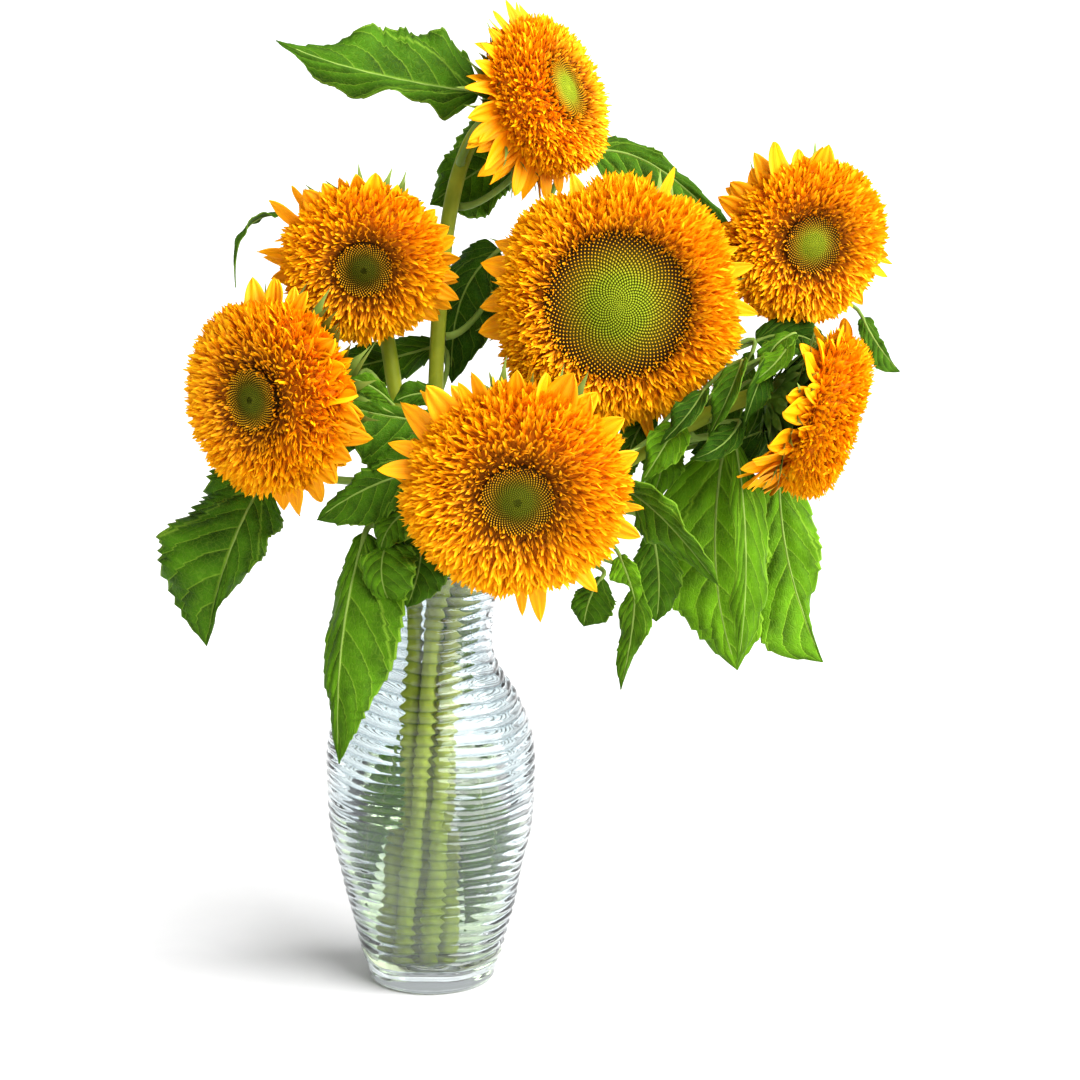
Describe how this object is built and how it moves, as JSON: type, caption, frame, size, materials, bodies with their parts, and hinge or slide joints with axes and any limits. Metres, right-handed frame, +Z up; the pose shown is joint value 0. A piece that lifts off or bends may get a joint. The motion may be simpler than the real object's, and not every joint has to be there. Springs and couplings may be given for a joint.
{
  "type": "sunflowers in a vase",
  "caption": "Bouquet of double sunflowers with serrated leaves, standing in a clear ribbed glass vase part filled with water; it rests on its flat foot.",
  "frame": {"origin": "middle of the vase's foot, on the surface it stands on", "axes": "+Z up along the vase's axis, -Y towards the front of the bouquet, +X to the side that the bouquet leans over"},
  "size_m": [0.3605, 0.1834, 0.4885],
  "materials": {
    "glass": "clear pressed glass, faintly blue-green",
    "water": "clear water",
    "stem": "pale green, hairy, satin",
    "calyx": "green, matt",
    "ray": "bright yellow, soft sheen",
    "floret": "golden orange, matt",
    "disc": "olive green to brown, rough",
    "leaf": "green with pale veins, satin"
  },
  "bodies": {
    "root": {"vase": "glass", "water": "water", "stem_top": "stem", "calyx_top": "calyx", "rays_top": "ray", "florets_top": "floret", "disc_top": "disc", "stem_upper_left": "stem", "calyx_upper_left": "calyx", "rays_upper_left": "ray", "florets_upper_left": "floret", "disc_upper_left": "disc", "stem_lower_left": "stem", "calyx_lower_left": "calyx", "rays_lower_left": "ray", "florets_lower_left": "floret", "disc_lower_left": "disc", "stem_centre": "stem", "calyx_centre": "calyx", "rays_centre": "ray", "florets_centre": "floret", "disc_centre": "disc", "stem_upper_right": "stem", "calyx_upper_right": "calyx", "rays_upper_right": "ray", "florets_upper_right": "floret", "disc_upper_right": "disc", "stem_front": "stem", "calyx_front": "calyx", "rays_front": "ray", "florets_front": "floret", "disc_front": "disc", "stem_lower_right": "stem", "calyx_lower_right": "calyx", "rays_lower_right": "ray", "florets_lower_right": "floret", "disc_lower_right": "disc", "leaf_top_left": "leaf", "leaf_top_inner": "leaf", "leaf_behind_centre": "leaf", "leaf_left_curl": "leaf", "leaf_left_large": "leaf", "leaf_mid_left": "leaf", "leaf_mid_crest": "leaf", "leaf_behind_stem": "leaf", "leaf_centre_dark": "leaf", "leaf_neck_curl": "leaf", "leaf_neck_round": "leaf", "leaf_over_vase": "leaf", "leaf_right_big": "leaf", "leaf_right_far": "leaf", "leaf_right_narrow": "leaf", "leaf_right_fold": "leaf", "leaf_right_light": "leaf", "leaf_low_small": "leaf", "leaf_low_dark": "leaf", "leaf_low_hang": "leaf", "leaf_curl_low": "leaf", "leaf_curl_high": "leaf", "leaf_right_tip": "leaf"}
  },
  "joints": []
}
